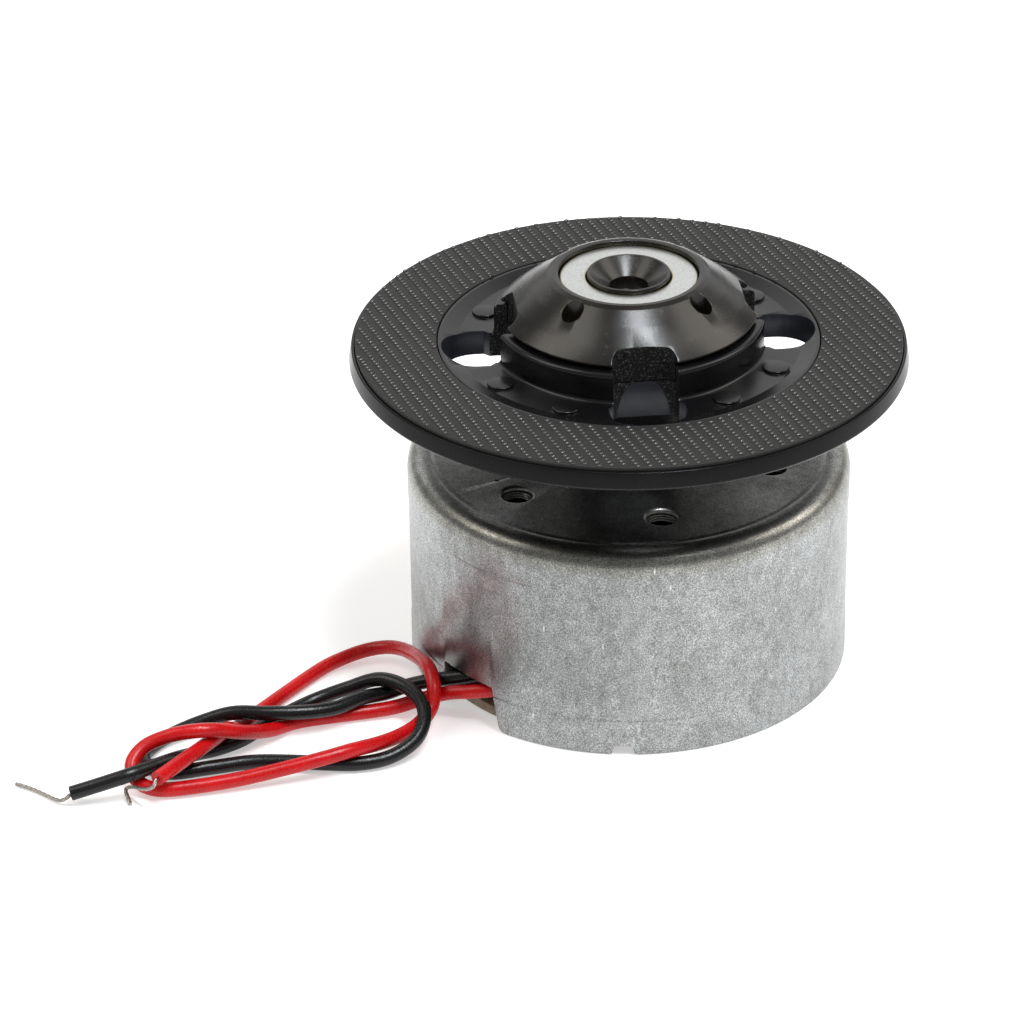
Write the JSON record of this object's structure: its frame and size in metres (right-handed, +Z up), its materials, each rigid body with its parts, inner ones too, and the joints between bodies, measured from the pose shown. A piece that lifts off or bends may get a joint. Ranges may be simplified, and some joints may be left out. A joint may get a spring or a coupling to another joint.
{
  "type": "disc spindle motor",
  "caption": "Flat round motor in a drawn steel can, with a slotted disc turntable, a centring cone with a steel washer, and short bare-ended leads.",
  "frame": {"origin": "on the shaft's axis, level with the can's open rim that the motor stands on", "axes": "+Z up along the shaft from the end plate to the centring cone, +X and +Y across it; the leads leave the can's wall towards -X and -Y"},
  "size_m": [0.0484, 0.0322, 0.0231],
  "materials": {
    "zinc_plate": "matt electroplated zinc, finely mottled",
    "washer_zinc": "bright zinc with light wear",
    "black_plastic": "semi-gloss moulded",
    "cone_plastic": "gloss moulded with fine scuffs",
    "mat_rubber": "matt, embossed with fine rows",
    "laminate": "satin phenolic laminate",
    "nylon": "satin",
    "dark_nylon": "satin",
    "red_pvc": "satin",
    "black_pvc": "satin",
    "tinned_copper": "dull tinned strands",
    "sintered_bronze": "porous, oiled",
    "brass_plate": "stamped",
    "bronze_leaf": "bright spring leaf",
    "commutator_copper": "bright",
    "enamelled_copper": "glossy enamel",
    "ferrite": "matt ceramic",
    "lamination_steel": "stamped stack",
    "ground_steel": "ground and polished"
  },
  "bodies": {
    "housing": {"motor_can": "zinc_plate", "front_bearing": "sintered_bronze", "magnet_1": "ferrite", "magnet_2": "ferrite", "end_plate": "laminate", "brush_base": "nylon", "terminal_1": "brass_plate", "terminal_2": "brass_plate", "brush_1": "bronze_leaf", "brush_2": "bronze_leaf", "rear_bearing": "sintered_bronze", "thrust_pad": "nylon", "red_wire": "red_pvc", "black_wire": "black_pvc", "red_strand": "tinned_copper", "black_strand": "tinned_copper"},
    "rotor": {"shaft": "ground_steel", "rotor_core": "lamination_steel", "coil_1": "enamelled_copper", "coil_2": "enamelled_copper", "coil_3": "enamelled_copper", "commutator_hub": "dark_nylon", "commutator_bar_1": "commutator_copper", "commutator_bar_2": "commutator_copper", "commutator_bar_3": "commutator_copper", "varistor_ring": "ferrite", "front_washer": "nylon", "rear_washer": "nylon", "turntable": "black_plastic", "friction_mat": "mat_rubber", "centering_cone": "cone_plastic", "chuck_washer": "washer_zinc"}
  },
  "joints": [
    {"name": "spin", "type": "hinge", "parent": "housing", "child": "rotor", "pos_m": [0, 0, 0], "axis": [0, 0, 1], "continuous": true}
  ]
}
